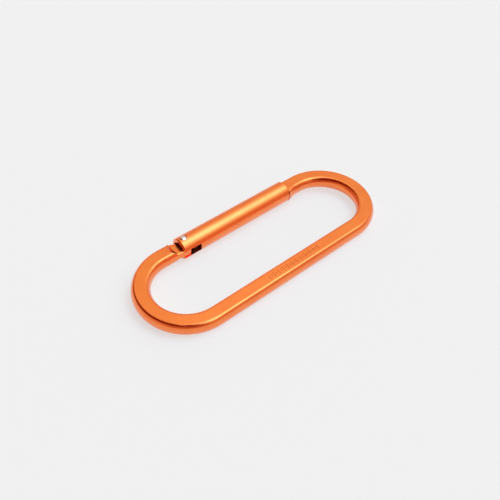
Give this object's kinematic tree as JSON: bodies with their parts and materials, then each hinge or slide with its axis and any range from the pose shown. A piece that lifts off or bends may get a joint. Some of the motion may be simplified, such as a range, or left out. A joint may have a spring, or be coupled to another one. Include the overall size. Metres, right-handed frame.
{
  "type": "carabiner keyring",
  "caption": "Pocket carabiner keyring: a bent flat-sided rod ring whose sprung round gate hinges inward to take key rings, straps or a belt loop.",
  "frame": {"origin": "centre of the whole object's box, with the gate closed", "axes": "+X along the length from the hinge end to the nose end, +Y from the spine to the gate, +Z out of the flat side with the cut marks"},
  "size_m": [0.08, 0.0305, 0.0066],
  "materials": {
    "anodised_body": "satin orange anodised",
    "anodised_gate": "satin orange anodised",
    "rivet_steel": "bright peened steel",
    "dark_steel": "black oxide steel",
    "spring_steel": "drawn spring wire"
  },
  "bodies": {
    "body": {"body_frame": "anodised_body"},
    "gate": {"gate_sleeve": "anodised_gate", "hinge_rivet": "rivet_steel", "return_spring": "spring_steel"},
    "plunger": {"plunger": "dark_steel"}
  },
  "joints": [
    {"name": "gate_hinge", "type": "hinge", "parent": "body", "child": "gate", "pos_m": [-0.01725, 0.0124, 0], "axis": [0, 0, -1], "range_deg": [0, 30], "stiffness_Nm_per_rad": 0.012, "springref_deg": -57.3},
    {"name": "plunger_slide", "type": "slide", "parent": "gate", "child": "plunger", "axis": [1, 0, 0], "range_m": [0, 0.0007], "deforming": ["return_spring"]}
  ],
  "couplings": [
    {"joint": "plunger_slide", "follows": "gate_hinge", "m_per_rad": 0.0012611}
  ]
}
